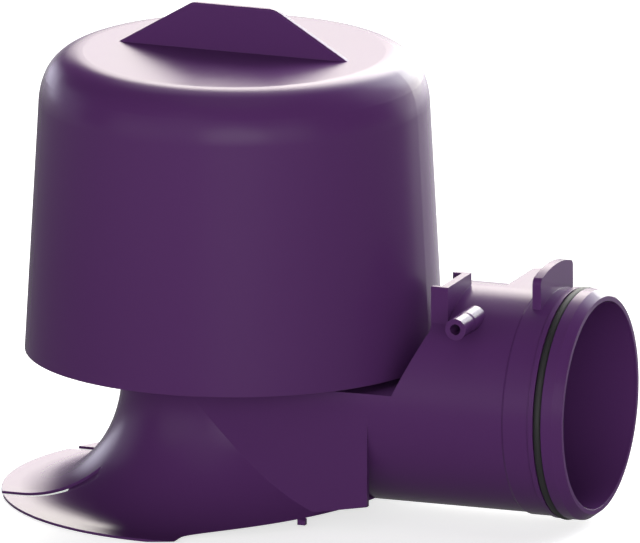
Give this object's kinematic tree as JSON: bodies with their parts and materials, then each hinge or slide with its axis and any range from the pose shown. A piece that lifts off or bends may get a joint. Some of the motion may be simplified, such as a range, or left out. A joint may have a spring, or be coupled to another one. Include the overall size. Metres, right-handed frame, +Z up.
{
  "type": "drain trap",
  "caption": "Bell trap for a floor drain: a flared foot with an upright overflow pipe under a lift-off bell with a grip fin, and a level outlet stub with a sealing ring.",
  "frame": {"origin": "middle of the footprint's bounding box, on the plane of the foot's lip", "axes": "+X along the outlet towards its mouth, +Z up along the overflow pipe and the bell, +Y to the side away from the hose nozzle"},
  "size_m": [0.1932, 0.1442, 0.1549],
  "materials": {
    "purple_plastic": "moulded semi-gloss",
    "black_rubber": "matte"
  },
  "bodies": {
    "trap": {"trap_body": "purple_plastic", "outlet_ring": "black_rubber"},
    "bell": {"bell": "purple_plastic"}
  },
  "joints": [
    {"name": "bell_lift", "type": "slide", "parent": "trap", "child": "bell", "axis": [0, 0, 1], "range_m": [0, 0.06]}
  ]
}
